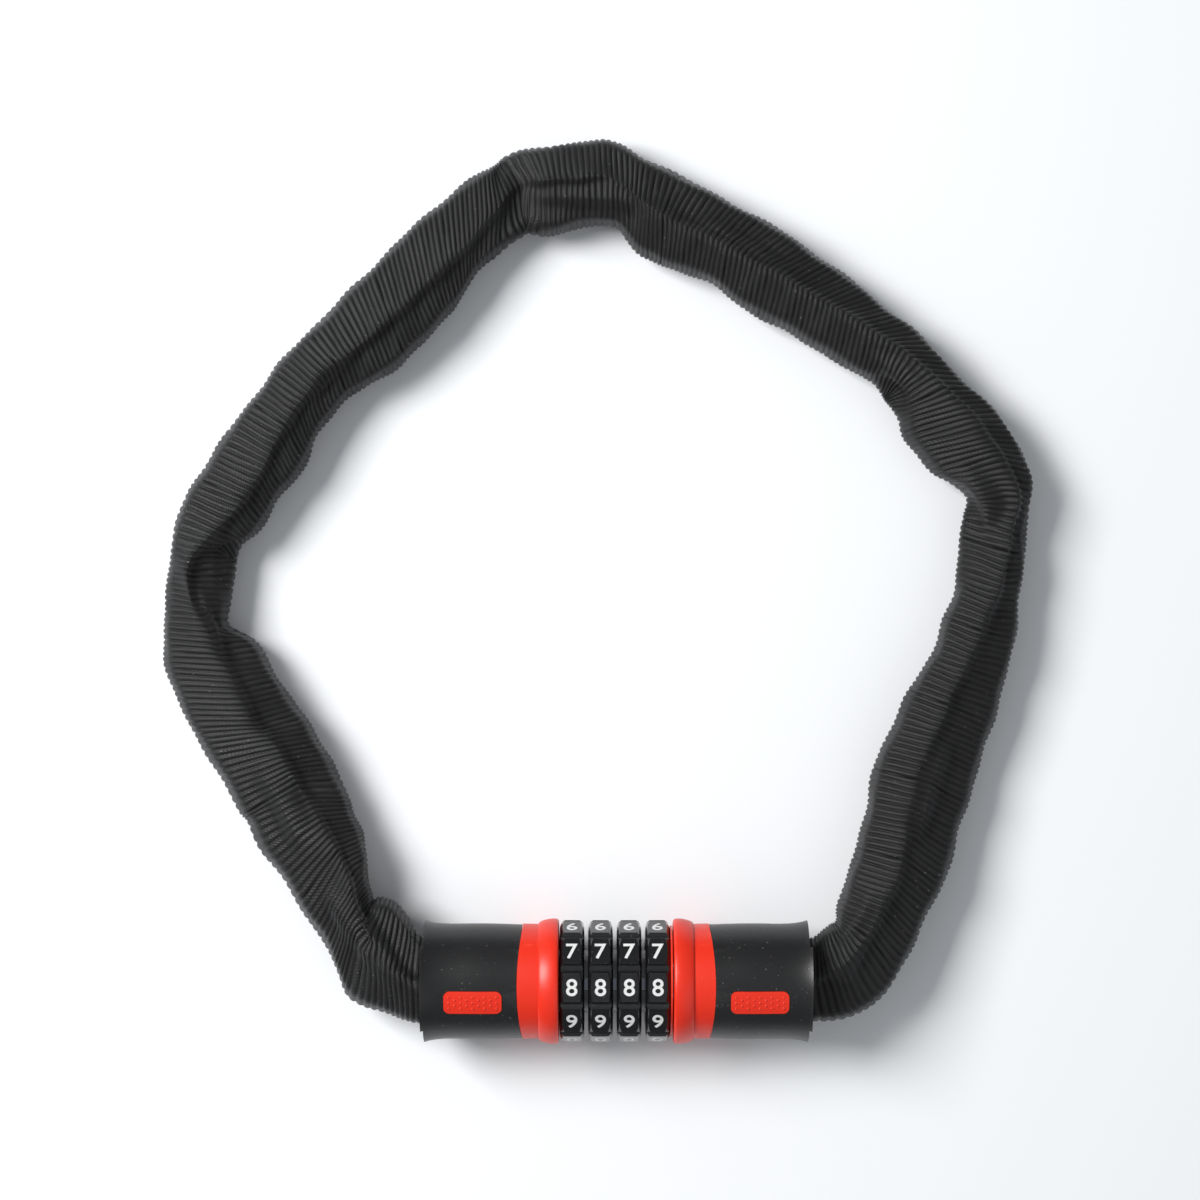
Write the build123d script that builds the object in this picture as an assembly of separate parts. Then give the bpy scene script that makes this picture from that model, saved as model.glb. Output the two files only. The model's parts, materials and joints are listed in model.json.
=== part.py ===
"""Four-dial combination chain lock, laid on a table in its locked state.

Millimetres. The origin is on the table, directly under the middle of the lock
barrel. The barrel runs along X, the chain loop lies towards +Y, and +Z is up.
The right half of the barrel is the plug: it pulls out towards +X.
"""

import math
import os

from build123d import *

# Barrel, outside
LIP_R = 16.2  # the collars' lips, which the barrel rests on
LIP_X = 14.8  # dial-side edge of each collar
LIP_CREST_X = 15.8
LIP_ROUND = 0.9  # the lip's edge starts this much lower than its crest
COLLAR_BELLY_X = 20.0
COLLAR_BELLY = 0.25  # the collar's flare still stands this much over the waist there
COLLAR_TAIL = 1.0  # the collar's blank runs this far past the seam
WAIST_R = 14.9  # the barrel at the joint between collar and shell
SHELL_START_X = 21.0
SHELL_X = 50.4  # outer end of each shell
SHELL_R = 16.0  # the shell's flared end
SHELL_FLARE_SLOPE = 0.35
SHELL_MID_R = 15.2
SEAM_X = 25.5  # the seam between collar and shell, on the top line
SEAM_BOW_R = 80.0  # the seam bows towards the shell with this radius
SHELL_BORE_R = 13.4
MOUTH_FLARE = 1.2  # the shell's mouth opens this much, over this depth
MOUTH_DEPTH = 2.0
COLLAR_BORE_R = 11.9
SEAM_GAP = 0.1
SADDLE_STEP = 0.25  # the raised top of the shell stands this far proud
SADDLE_FRONT_DEG = 48.0
SADDLE_BACK_DEG = 39.0
SADDLE_OVERHANG = 0.7

# Grip inlays
GRIP_LENGTH = 14.9
GRIP_WIDTH = 6.0
GRIP_CORNER_R = 1.6
GRIP_X = 36.8
GRIP_TILT_DEG = 15.5  # towards the front
GRIP_DEPTH = 0.8
GRIP_PROUD = 0.2
GRIP_GAP = 0.1

# Dials and code rings
DIAL_COUNT = 4
DIGITS = 10
DIAL_R = 16.0
DIAL_FLAT_R = 15.3  # the digit flats, measured from the axis
DIAL_WIDTH = 6.4
DIAL_PITCH = 7.36
DIAL_MID_X = -0.35  # middle of the four dials
DIAL_CROWN_R = 2.4
DIAL_BORE_R = 11.05
NOTCH_R = 1.25
NOTCH_AT_R = 16.1
RING_WIDTH = 5.0
RING_FIT = 0.05  # radial gap between a code ring and its dial
DETENT_R = 0.7  # the ten grooves inside a code ring

# Lock core, the left half's metal body
TUBE_R = 8.0
RUNNING_FIT = 0.08  # radial gap of rings on the tube, and of the pin in it
TUBE_BORE_R = 4.6
BLOCK_R = 13.3
NECK_R = 11.8
NECK_X = 26.2  # where the block steps down into the collar
BLOCK_END_X = 44.5
BLOCK_FACE_X = 14.95
TUBE_ROOT = 0.5  # how far the tube runs into the block
END_PLATE_X = 14.0
END_PLATE_T = 0.5
END_PLATE_R = 14.4
END_PLATE_FIT = 0.02
LEAF_WIDTH = 3.0
LEAF_T = 0.4
LEAF_RECESS = 1.0
LEAF_GAP = 0.1  # beside and under the leaf in its recess
LEAF_END_GAP = 0.4
RIB_FIT = 0.2  # a rib is this much smaller than the groove it drops into
RIB_INSET = 1.0  # and this much shorter than its ring at each end
STEM_HALF = 1.0

# Locking pin and its lugs
PIN_TIP_X = -17.5
PIN_TIP_CHAMFER = 1.2
PIN_END_GAP = 1.5  # the bore runs on past the pin's tip
LUG_POCKET = 1.0  # the pocket runs on past the last lug
LUG_T = 1.6
LUG_WIDTH = 2.0
LUG_TIP_R = 10.2
LUG_GAP = 0.2  # beside and above a lug, in the slot and the gates
PIN_SOCKET_X = 27.0

# Anchors, clamps and screws
ANCHOR_X = 40.0
ANCHOR_R = 2.5
ANCHOR_HALF = 12.0
ANCHOR_CHAMFER = 0.4
FORK_GAP = 0.6  # above and below the end link
CLAMP_LENGTH = 3.0
CLAMP_FIT = 0.15
SCREW_X = 30.0
SCREW_R = 1.25
SCREW_HEAD_R = 2.3
SCREW_HEAD_T = 1.2
SCREW_LENGTH = 8.0
SCREW_SUNK = 0.3  # the head lies this far under the shell's face
SCREW_SOCKET_R = 0.8
SCREW_SOCKET_DEPTH = 0.8
SCREW_FIT = 0.1

# Chain
BAR = 4.0  # side of the square bar
BAR_EDGE_R = 0.7
LINK_HOLE_WIDTH = 6.5
LINK_HOLE_LENGTH = 22.7
LINK_COUNT = 27  # odd: flat links at both ends
END_PITCH_DEG = (0.0, 7.0, 7.0, 6.2)  # the end links run downhill to the table

# The loop's course on the table, from the left mouth round to the right one
COURSE = (
    (-74, 24), (-90, 55), (-108, 88), (-111, 108), (-98, 130), (-78, 158),
    (-50, 184), (-28, 205), (0, 208), (26, 194), (60, 172), (84, 150),
    (100, 126), (97, 98), (86, 67), (76, 37),
)

# Fabric sleeve
SLEEVE_HALF_WIDTH = 11.8
SLEEVE_WALL = 0.6
SLEEVE_END_X = 45.5
SLEEVE_LINK_GAP = 0.3  # above and below an upright link

# Worked out from the sizes above
AXIS_Z = LIP_R
FLAT_PITCH = LINK_HOLE_LENGTH - LINK_HOLE_WIDTH
UPRIGHT_PITCH = LINK_HOLE_LENGTH + BAR
LINK_OUTER_WIDTH = LINK_HOLE_WIDTH + 2 * BAR
GATE_R = LUG_TIP_R + LUG_GAP
SLOT_WIDTH = LUG_WIDTH + 2 * LUG_GAP
RING_R = DIAL_BORE_R - RING_FIT
RING_BORE_R = TUBE_R + RUNNING_FIT
PIN_R = TUBE_BORE_R - RUNNING_FIT
SLEEVE_HALF_HEIGHT = LINK_OUTER_WIDTH / 2 + SLEEVE_LINK_GAP + SLEEVE_WALL
CHAIN_Z = SLEEVE_HALF_HEIGHT  # the flat part of the chain lies at the sleeve's middle


def dial_x(index):
    """Middle of a dial along the barrel, index 0 at the left."""
    return DIAL_MID_X + (index - (DIAL_COUNT - 1) / 2) * DIAL_PITCH


def turned(*outline):
    """A solid turned about the X axis from an outline of (x, radius) points."""
    face = make_face(Polyline(*outline, close=True))
    return revolve(Plane.XZ * face, Axis.X)


def tube(x_low, x_high, bore_r, outer_r):
    """A plain ring about the X axis; a bore of nought gives a solid bar."""
    corners = ((x_low, bore_r), (x_high, bore_r), (x_high, outer_r), (x_low, outer_r))
    return turned(*corners)


def block(x_low, x_high, y_low, y_high, z_low, z_high):
    """A box between two corners."""
    middle = ((x_low + x_high) / 2, (y_low + y_high) / 2, (z_low + z_high) / 2)
    return Pos(*middle) * Box(x_high - x_low, y_high - y_low, z_high - z_low)


def mirrored(shape):
    """The same piece for the left half."""
    return mirror(shape, about=Plane.YZ)


def shell_blank(proud, end_x, bore_r):
    """The right shell's turned body, its outer face moved out by proud."""
    skin = Spline(
        (SHELL_START_X, WAIST_R + proud),
        (GRIP_X, SHELL_MID_R + proud),
        (end_x, SHELL_R + proud),
        tangents=((1, 0), (1, SHELL_FLARE_SLOPE)),
    )
    rest = Polyline(
        (end_x, SHELL_R + proud), (end_x, bore_r + MOUTH_FLARE), (end_x - MOUTH_DEPTH, bore_r),
        (SHELL_START_X, bore_r), (SHELL_START_X, WAIST_R + proud),
    )
    return revolve(Plane.XZ * make_face([skin, rest]), Axis.X)


def seam_cylinder(gap):
    """The upright cylinder whose wall is the bowed seam."""
    tall = Cylinder(SEAM_BOW_R + gap, 4 * LIP_R)
    return Pos(SEAM_X - SEAM_BOW_R, 0, 0) * tall


def grip_prism(grow):
    """The inlay's rounded outline, carried outwards through the shell's wall."""
    outline = RectangleRounded(
        GRIP_LENGTH + 2 * grow, GRIP_WIDTH + 2 * grow, GRIP_CORNER_R + grow
    )
    upright = extrude(Pos(GRIP_X, 0, LIP_R / 2) * outline, LIP_R)
    return Rot(GRIP_TILT_DEG, 0, 0) * upright


def saddle_wedge():
    """The sector of the shell whose face stands proud."""
    front, back = (math.radians(a) for a in (SADDLE_FRONT_DEG, SADDLE_BACK_DEG))
    far = 2 * LIP_R
    corners = (
        (0, 0),
        (-far * math.sin(front), far * math.cos(front)),
        (0, far * 1.2),
        (far * math.sin(back), far * math.cos(back)),
    )
    face = Plane.YZ * make_face(Polyline(*corners, close=True))
    return extrude(face, SHELL_X + 1)


def shell():
    """Right shell: a low body with the raised saddle on top, the inlay's recess and a screw hole."""
    body = shell_blank(-SADDLE_STEP, SHELL_X - SADDLE_OVERHANG, SHELL_BORE_R)
    body += shell_blank(0, SHELL_X, SHELL_BORE_R) & saddle_wedge()
    body -= seam_cylinder(SEAM_GAP)
    floor = shell_blank(-GRIP_DEPTH - GRIP_GAP, SHELL_X, 1.0)
    body -= grip_prism(GRIP_GAP) - floor
    return body - screw(SCREW_FIT)


def grip():
    """Right inlay, following the shell's curve and standing a little proud."""
    slab = shell_blank(GRIP_PROUD, SHELL_X, 1.0) - shell_blank(-GRIP_DEPTH, SHELL_X + 1, 1.0)
    return slab & grip_prism(0)


def collar():
    """Right collar: a flared ring with a rounded lip beside the dials."""
    tail_x = SEAM_X + COLLAR_TAIL
    skin = Spline(
        (LIP_X, LIP_R - LIP_ROUND),
        (LIP_CREST_X, LIP_R),
        (COLLAR_BELLY_X, WAIST_R + COLLAR_BELLY),
        (tail_x, WAIST_R),
        tangents=((0, 1), (1, 0)),
    )
    rest = Polyline(
        (tail_x, WAIST_R), (tail_x, COLLAR_BORE_R), (LIP_X, COLLAR_BORE_R),
        (LIP_X, LIP_R - LIP_ROUND),
    )
    ring = revolve(Plane.XZ * make_face([skin, rest]), Axis.X)
    return ring & seam_cylinder(0)


def screw(grow):
    """The countersunk screw under the shell, or its hole when grown."""
    head_z = -(SHELL_MID_R - SADDLE_STEP - SCREW_SUNK)
    shank = Pos(SCREW_X, 0, head_z + SCREW_LENGTH / 2)
    screw_body = shank * Cylinder(SCREW_R + grow, SCREW_LENGTH + grow)
    head = Pos(SCREW_X, 0, head_z + SCREW_HEAD_T / 2)
    screw_body += head * Cone(SCREW_HEAD_R + grow, SCREW_R + grow, SCREW_HEAD_T)
    if grow:
        mouth = Pos(SCREW_X, 0, head_z - 1) * Cylinder(SCREW_HEAD_R + grow, 2)
        return screw_body + mouth
    socket = Cylinder(SCREW_SOCKET_R, SCREW_SOCKET_DEPTH)
    return screw_body - Pos(SCREW_X, 0, head_z + SCREW_SOCKET_DEPTH / 2) * socket


def end_block():
    """What both metal bodies share: a stepped block with a fork for the chain's end link."""
    body = tube(BLOCK_FACE_X, NECK_X, 0, NECK_R) + tube(NECK_X, BLOCK_END_X, 0, BLOCK_R)
    slot_half = BAR / 2 + FORK_GAP
    slot_x = ANCHOR_X - LINK_OUTER_WIDTH / 2 - FORK_GAP
    body -= block(slot_x, BLOCK_END_X + 1, -LIP_R, LIP_R, -slot_half, slot_half)
    body -= Pos(ANCHOR_X, 0, 0) * Cylinder(ANCHOR_R, 2 * LIP_R)
    return body - screw(SCREW_FIT)


def anchor_pin():
    """The upright pin that the chain's end link turns on."""
    pin = Cylinder(ANCHOR_R, 2 * ANCHOR_HALF)
    rims = pin.edges().filter_by(GeomType.CIRCLE)
    return Pos(ANCHOR_X, 0, 0) * chamfer(rims, ANCHOR_CHAMFER)


def lug_x(index):
    """Middle of the lug that a code ring blocks, in the space to its left."""
    return dial_x(index) - DIAL_PITCH / 2


def lock_core():
    """Left metal body: block and fork, with the slotted tube that carries the code rings."""
    pocket_x = lug_x(0) - LUG_T / 2 - LUG_POCKET
    body = mirrored(end_block())
    body += tube(-BLOCK_FACE_X - TUBE_ROOT, END_PLATE_X + END_PLATE_T, 0, TUBE_R)
    body -= tube(pocket_x, -BLOCK_FACE_X, TUBE_R, GATE_R)
    body -= tube(PIN_TIP_X - PIN_END_GAP, LIP_X + 1, 0, TUBE_BORE_R)
    half = SLOT_WIDTH / 2
    body -= block(pocket_x, LIP_X + 1, -half, half, -GATE_R, 0)
    leaf_half = LEAF_WIDTH / 2 + LEAF_GAP
    leaf_x = dial_x(0) - RING_WIDTH / 2 - LEAF_END_GAP
    return body - block(
        leaf_x, END_PLATE_X, -leaf_half, leaf_half, TUBE_R - LEAF_RECESS, TUBE_R + 1
    )


def end_plate():
    """The plate that keeps the dials on the tube."""
    plate = tube(END_PLATE_X, END_PLATE_X + END_PLATE_T, TUBE_R + END_PLATE_FIT, END_PLATE_R)
    half = SLOT_WIDTH / 2
    return plate - block(END_PLATE_X - 1, LIP_X + 1, -half, half, -GATE_R, 0)


def detent_leaf():
    """One leaf spring with a raised rib under each code ring."""
    low = TUBE_R - LEAF_RECESS + LEAF_GAP
    leaf = block(
        dial_x(0) - RING_WIDTH / 2, END_PLATE_X - LEAF_END_GAP, -LEAF_WIDTH / 2, LEAF_WIDTH / 2,
        low, low + LEAF_T,
    )
    rib_r = DETENT_R - RIB_FIT
    for index in range(DIAL_COUNT):
        rib = Rot(0, 90, 0) * Cylinder(rib_r, RING_WIDTH - 2 * RIB_INSET)
        stem = block(-STEM_HALF, STEM_HALF, -rib_r, rib_r, low + LEAF_T / 2, RING_BORE_R)
        leaf += Pos(dial_x(index), 0, RING_BORE_R) * rib
        leaf += Pos(dial_x(index), 0, 0) * stem
    return leaf


def round_about(shape, count):
    """Copies of a cutter spread evenly round the X axis."""
    return [Rot(i * 360 / count, 0, 0) * shape for i in range(count)]


def dial(index):
    """A crowned ring with ten digit flats and a finger notch between each two."""
    half = DIAL_WIDTH / 2
    ring = tube(-half, half, DIAL_BORE_R, DIAL_R)
    rims = [e for e in ring.edges().filter_by(GeomType.CIRCLE) if e.radius > DIAL_R - 0.1]
    ring = fillet(rims, DIAL_CROWN_R)
    outline = RegularPolygon(DIAL_FLAT_R, DIGITS, major_radius=False)
    ring &= Pos(-half, 0, 0) * extrude(Plane.YZ * outline, DIAL_WIDTH)
    notch = Rot(180 / DIGITS, 0, 0) * Pos(0, 0, NOTCH_AT_R)
    notch *= Rot(0, 90, 0) * Cylinder(NOTCH_R, DIAL_WIDTH + 1)
    return Pos(dial_x(index), 0, 0) * (ring - round_about(notch, DIGITS))


def code_ring(index):
    """A brass ring with one gate for a lug and ten detent grooves."""
    half = RING_WIDTH / 2
    ring = tube(-half, half, RING_BORE_R, RING_R)
    ring -= block(-half - 1, half + 1, -SLOT_WIDTH / 2, SLOT_WIDTH / 2, -GATE_R, 0)
    groove = Pos(0, 0, RING_BORE_R) * Rot(0, 90, 0) * Cylinder(DETENT_R, RING_WIDTH + 1)
    return Pos(dial_x(index), 0, 0) * (ring - round_about(groove, DIGITS))


def plug_block():
    """Right metal body, with the socket that holds the locking pin."""
    return end_block() - tube(BLOCK_FACE_X - 1, PIN_SOCKET_X, 0, PIN_R)


def lock_pin():
    """The locking pin, with one lug for each code ring along its underside."""
    pin = tube(PIN_TIP_X, PIN_SOCKET_X, 0, PIN_R)
    tip = [e for e in pin.edges().filter_by(GeomType.CIRCLE) if e.center().X < 0]
    pin = chamfer(tip, PIN_TIP_CHAMFER)
    half = LUG_WIDTH / 2
    for index in range(DIAL_COUNT):
        x = lug_x(index)
        pin += block(x - LUG_T / 2, x + LUG_T / 2, -half, half, -LUG_TIP_R, 0)
    return pin


def sleeve_clamp():
    """The ring that grips the sleeve's end inside the right shell."""
    oval = Ellipse(SLEEVE_HALF_WIDTH + CLAMP_FIT, SLEEVE_HALF_HEIGHT + CLAMP_FIT)
    ring = Circle(BLOCK_R) - oval
    return Pos(SLEEVE_END_X, 0, 0) * extrude(Plane.YZ * ring, CLAMP_LENGTH)


def link():
    """A link of square bar, lying flat, its long side along X."""
    ring = SlotOverall(LINK_HOLE_LENGTH + 2 * BAR, LINK_OUTER_WIDTH)
    ring -= SlotOverall(LINK_HOLE_LENGTH, LINK_HOLE_WIDTH)
    body = extrude(ring, BAR / 2, both=True)
    flat = [e for e in body.edges() if abs(abs(e.center().Z) - BAR / 2) < BAR_EDGE_R / 9]
    return fillet(flat, BAR_EDGE_R)


def link_pitch(index):
    """Distance between a link's two pivots: flat and upright links alternate."""
    return FLAT_PITCH if index % 2 == 0 else UPRIGHT_PITCH


def next_pivot(course, start, reach):
    """The first point of the course after leg start.leg that is reach away from start.point."""
    leg, here = start
    for i in range(leg, len(course) - 1):
        a, b = Vector(*course[i]), Vector(*course[i + 1])
        if (b - here).length < reach:
            continue
        along = (b - a).normalized()
        foot = (here - a).dot(along)
        miss = (here - a - along * foot).length
        return i, a + along * (foot + math.sqrt(reach**2 - miss**2))
    return None


def pivots_at(size):
    """Plan position of every pivot after the first link, with the course scaled by size."""
    first = Vector(-ANCHOR_X - FLAT_PITCH, 0)
    last = Vector(-first.X, 0)
    course = [(first.X, 0)] + [(x * size, y * size) for x, y in COURSE] + [(last.X, 0)]
    found = [(0, first)]
    for index in range(1, LINK_COUNT - 2):
        step = next_pivot(course, found[-1], link_pitch(index))
        if step is None:
            return None
        found.append(step)
    return [point for _, point in found] + [last]


def chain_pivots():
    """Every pivot of the chain as (x, y, z), from the left anchor pin to the right one.

    The course is scaled until the last upright link closes the loop exactly.
    """
    small, large = 0.5, 2.0
    for _ in range(60):
        size = (small + large) / 2
        plan = pivots_at(size)
        if plan is None or (plan[-1] - plan[-2]).length < UPRIGHT_PITCH:
            small = size
        else:
            large = size
    plan = [Vector(-ANCHOR_X, 0)] + pivots_at(large) + [Vector(ANCHOR_X, 0)]
    heights = [0.0] * (LINK_COUNT + 1)
    for i in range(LINK_COUNT + 1):
        near_end = min(i, LINK_COUNT - i)
        drop = sum(
            link_pitch(k) * math.sin(math.radians(END_PITCH_DEG[k]))
            for k in range(min(near_end, len(END_PITCH_DEG)))
        )
        heights[i] = max(AXIS_Z - drop, CHAIN_Z)
    return [Vector(p.X, p.Y, z) for p, z in zip(plan, heights)]


def link_frame(start, end, upright):
    """The place of a link between two pivots, in plan direction start to end."""
    run = end - start
    heading = math.degrees(math.atan2(run.Y, run.X))
    slope = math.degrees(math.atan2(run.Z, math.hypot(run.X, run.Y)))
    middle = (start + end) * 0.5
    turn = Rot(0, 0, heading) * Rot(0, -slope, 0)
    return Pos(*middle) * turn * Rot(90 if upright else 0, 0, 0)


def sleeve_sections(pivots, shrink):
    """The sleeve's oval at its two ends and, mitred, at every pivot between them."""
    start = Vector(-SLEEVE_END_X, 0, AXIS_Z)
    points = [start] + pivots[1:-1] + [Vector(-start.X, 0, AXIS_Z)]
    runs = [(b - a).normalized() for a, b in zip(points, points[1:])]
    sections = []
    for point, before, after in zip(points, runs[:1] + runs, runs + runs[-1:]):
        along = (before + after).normalized()
        mitre = 1 / math.cos(math.radians(before.get_angle(after)) / 2)
        across = Vector(0, 0, 1).cross(along).normalized()
        oval = Ellipse((SLEEVE_HALF_WIDTH - shrink) * mitre, SLEEVE_HALF_HEIGHT - shrink)
        sections.append(Plane(point, x_dir=across, z_dir=along) * oval)
    return sections


def fabric_sleeve(pivots):
    """The fabric tube over the chain, open at both ends."""
    outside = loft(sleeve_sections(pivots, 0), ruled=True)
    return outside - loft(sleeve_sections(pivots, SLEEVE_WALL), ruled=True)


def write(name, shape):
    """One node of the assembly, as its own file."""
    export_step(shape, f"parts/{name}.step")


def main():
    os.makedirs("parts", exist_ok=True)
    lift = Pos(0, 0, AXIS_Z)
    both_sides = {
        "shell": shell(),
        "collar": collar(),
        "grip": grip(),
        "anchor_pin": anchor_pin(),
        "sleeve_clamp": sleeve_clamp(),
        "shell_screw": screw(0),
    }
    for name, shape in both_sides.items():
        write(f"right_{name}", lift * shape)
        write(f"left_{name}", lift * mirrored(shape))
    write("lock_core", lift * lock_core())
    write("dial_end_plate", lift * end_plate())
    write("detent_leaf", lift * detent_leaf())
    write("plug_block", lift * plug_block())
    write("lock_pin", lift * lock_pin())
    for index in range(DIAL_COUNT):
        write(f"dial_{index + 1}", lift * dial(index))
        write(f"code_ring_{index + 1}", lift * code_ring(index))
    pivots = chain_pivots()
    one_link = link()
    for index, (start, end) in enumerate(zip(pivots, pivots[1:])):
        placed = link_frame(start, end, index % 2 == 1) * one_link
        write(f"link_{index + 1:02d}", placed)
    write("fabric_sleeve", fabric_sleeve(pivots))


main()
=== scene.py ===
"""Studio model of a four-dial chain lock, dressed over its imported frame.

The barrel, dials, links and fittings are the frame's own parts with worked finishes.
The ribbed fabric sleeve, the dials' digits and the grips' raised dots are built here.
Lengths are metres unless a name ends in _mm.
"""

import json
import logging
import math
from dataclasses import dataclass, field
from enum import Enum

import bmesh
import bpy
import numpy as np
from mathutils import Matrix, Vector

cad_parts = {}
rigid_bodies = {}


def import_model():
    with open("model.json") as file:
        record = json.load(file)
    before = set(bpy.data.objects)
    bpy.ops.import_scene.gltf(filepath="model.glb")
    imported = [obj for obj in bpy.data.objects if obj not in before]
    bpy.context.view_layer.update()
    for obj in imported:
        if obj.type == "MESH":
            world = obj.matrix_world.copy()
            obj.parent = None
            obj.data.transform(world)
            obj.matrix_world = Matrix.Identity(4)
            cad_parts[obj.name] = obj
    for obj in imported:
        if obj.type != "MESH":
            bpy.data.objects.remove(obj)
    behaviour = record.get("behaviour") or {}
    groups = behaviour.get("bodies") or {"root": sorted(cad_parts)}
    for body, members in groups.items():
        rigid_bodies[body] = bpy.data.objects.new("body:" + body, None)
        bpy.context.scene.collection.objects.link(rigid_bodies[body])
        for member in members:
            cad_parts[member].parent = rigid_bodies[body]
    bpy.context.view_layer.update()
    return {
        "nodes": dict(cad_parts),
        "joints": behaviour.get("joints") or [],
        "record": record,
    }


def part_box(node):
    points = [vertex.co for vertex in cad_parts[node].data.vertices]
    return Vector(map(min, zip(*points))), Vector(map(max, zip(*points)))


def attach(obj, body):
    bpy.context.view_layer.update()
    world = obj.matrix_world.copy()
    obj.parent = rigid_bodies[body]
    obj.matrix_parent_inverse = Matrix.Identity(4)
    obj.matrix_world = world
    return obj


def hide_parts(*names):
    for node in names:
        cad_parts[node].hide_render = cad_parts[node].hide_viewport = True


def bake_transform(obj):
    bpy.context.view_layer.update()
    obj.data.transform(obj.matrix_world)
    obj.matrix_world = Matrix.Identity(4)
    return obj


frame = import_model()

MM = 0.001
Colour = tuple[float, float, float]
log = logging.getLogger("chain_lock")


class Slot(Enum):
    """Material slots of the record."""

    SHELL = "shell"
    RED = "red"
    DIAL = "dial"
    BRASS = "brass"
    ZINC = "zinc"
    STEEL = "steel"
    SPRING_STEEL = "spring_steel"
    LINK_STEEL = "link_steel"
    FABRIC = "fabric"


# --------------------------------------------------------------------------- shader groups


class Groups:
    """Shader node groups that several finishes share; each is built once."""

    wear_noise: float = 900.0
    dust_detail: float = 2.0

    def __init__(self) -> None:
        """Builds the grain, edge wear and dust groups."""
        self.grain = self._grain()
        self.wear = self._wear()
        self.dust = self._dust()

    @staticmethod
    def _new(name: str, inputs: dict[str, float], outputs: tuple[str, ...]
             ) -> tuple[bpy.types.NodeTree, bpy.types.Node, bpy.types.Node]:
        """Starts a group with float sockets.

        Args:
            name: the group's name.
            inputs: each input's name and default.
            outputs: the outputs' names.

        Returns:
            The tree, its input node and its output node.
        """
        tree = bpy.data.node_groups.new(name, "ShaderNodeTree")
        for socket, default in inputs.items():
            made = tree.interface.new_socket(socket, in_out="INPUT", socket_type="NodeSocketFloat")
            made.default_value = default
        for socket in outputs:
            tree.interface.new_socket(socket, in_out="OUTPUT", socket_type="NodeSocketFloat")
        return tree, tree.nodes.new("NodeGroupInput"), tree.nodes.new("NodeGroupOutput")

    def _grain(self) -> bpy.types.NodeTree:
        """Fine moulded or cast grain: a height, and a slow blotch for colour and gloss.

        Returns:
            The group.
        """
        tree, given, out = self._new("surface_grain", {"Scale": 3000.0, "Blotch Scale": 60.0},
                                     ("Height", "Blotch"))
        place = tree.nodes.new("ShaderNodeTexCoord")
        for source, target, detail in (("Scale", "Height", 3.0), ("Blotch Scale", "Blotch", 4.0)):
            noise = tree.nodes.new("ShaderNodeTexNoise")
            noise.inputs["Detail"].default_value = detail
            tree.links.new(place.outputs["Object"], noise.inputs["Vector"])
            tree.links.new(given.outputs[source], noise.inputs["Scale"])
            tree.links.new(noise.outputs["Fac"], out.inputs[target])
        return tree

    def _wear(self) -> bpy.types.NodeTree:
        """A mask that is 1 on worn outer edges, broken up by noise.

        Returns:
            The group.
        """
        tree, given, out = self._new("edge_wear", {"Start": 0.52, "End": 0.6}, ("Mask",))
        shape = tree.nodes.new("ShaderNodeNewGeometry")
        place = tree.nodes.new("ShaderNodeTexCoord")
        noise = tree.nodes.new("ShaderNodeTexNoise")
        noise.inputs["Scale"].default_value = self.wear_noise
        band = tree.nodes.new("ShaderNodeMapRange")
        times = tree.nodes.new("ShaderNodeMath")
        times.operation = "MULTIPLY"
        tree.links.new(place.outputs["Object"], noise.inputs["Vector"])
        tree.links.new(shape.outputs["Pointiness"], band.inputs["Value"])
        tree.links.new(given.outputs["Start"], band.inputs["From Min"])
        tree.links.new(given.outputs["End"], band.inputs["From Max"])
        tree.links.new(band.outputs["Result"], times.inputs[0])
        tree.links.new(noise.outputs["Fac"], times.inputs[1])
        tree.links.new(times.outputs["Value"], out.inputs["Mask"])
        return tree

    def _dust(self) -> bpy.types.NodeTree:
        """A mask of sparse pale specks, stronger on faces that look up.

        Returns:
            The group.
        """
        tree, given, out = self._new("dust_specks", {"Scale": 1400.0, "Threshold": 0.7},
                                     ("Mask",))
        place = tree.nodes.new("ShaderNodeTexCoord")
        noise = tree.nodes.new("ShaderNodeTexNoise")
        noise.inputs["Detail"].default_value = self.dust_detail
        above = tree.nodes.new("ShaderNodeMath")
        above.operation = "GREATER_THAN"
        shape = tree.nodes.new("ShaderNodeNewGeometry")
        split = tree.nodes.new("ShaderNodeSeparateXYZ")
        times = tree.nodes.new("ShaderNodeMath")
        times.operation = "MULTIPLY"
        times.use_clamp = True
        tree.links.new(place.outputs["Object"], noise.inputs["Vector"])
        tree.links.new(given.outputs["Scale"], noise.inputs["Scale"])
        tree.links.new(noise.outputs["Fac"], above.inputs[0])
        tree.links.new(given.outputs["Threshold"], above.inputs[1])
        tree.links.new(shape.outputs["Normal"], split.inputs["Vector"])
        tree.links.new(above.outputs["Value"], times.inputs[0])
        tree.links.new(split.outputs["Z"], times.inputs[1])
        tree.links.new(times.outputs["Value"], out.inputs["Mask"])
        return tree


# --------------------------------------------------------------------------- finishes


def place_group(tree: bpy.types.NodeTree, group: bpy.types.NodeTree,
                values: dict[str, float]) -> bpy.types.Node:
    """Puts a node group in a tree.

    Args:
        tree: the material's tree.
        group: the shared group.
        values: the inputs to set, by name.

    Returns:
        The group's node.
    """
    node = tree.nodes.new("ShaderNodeGroup")
    node.node_tree = group
    for socket, value in values.items():
        node.inputs[socket].default_value = value
    return node


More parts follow.
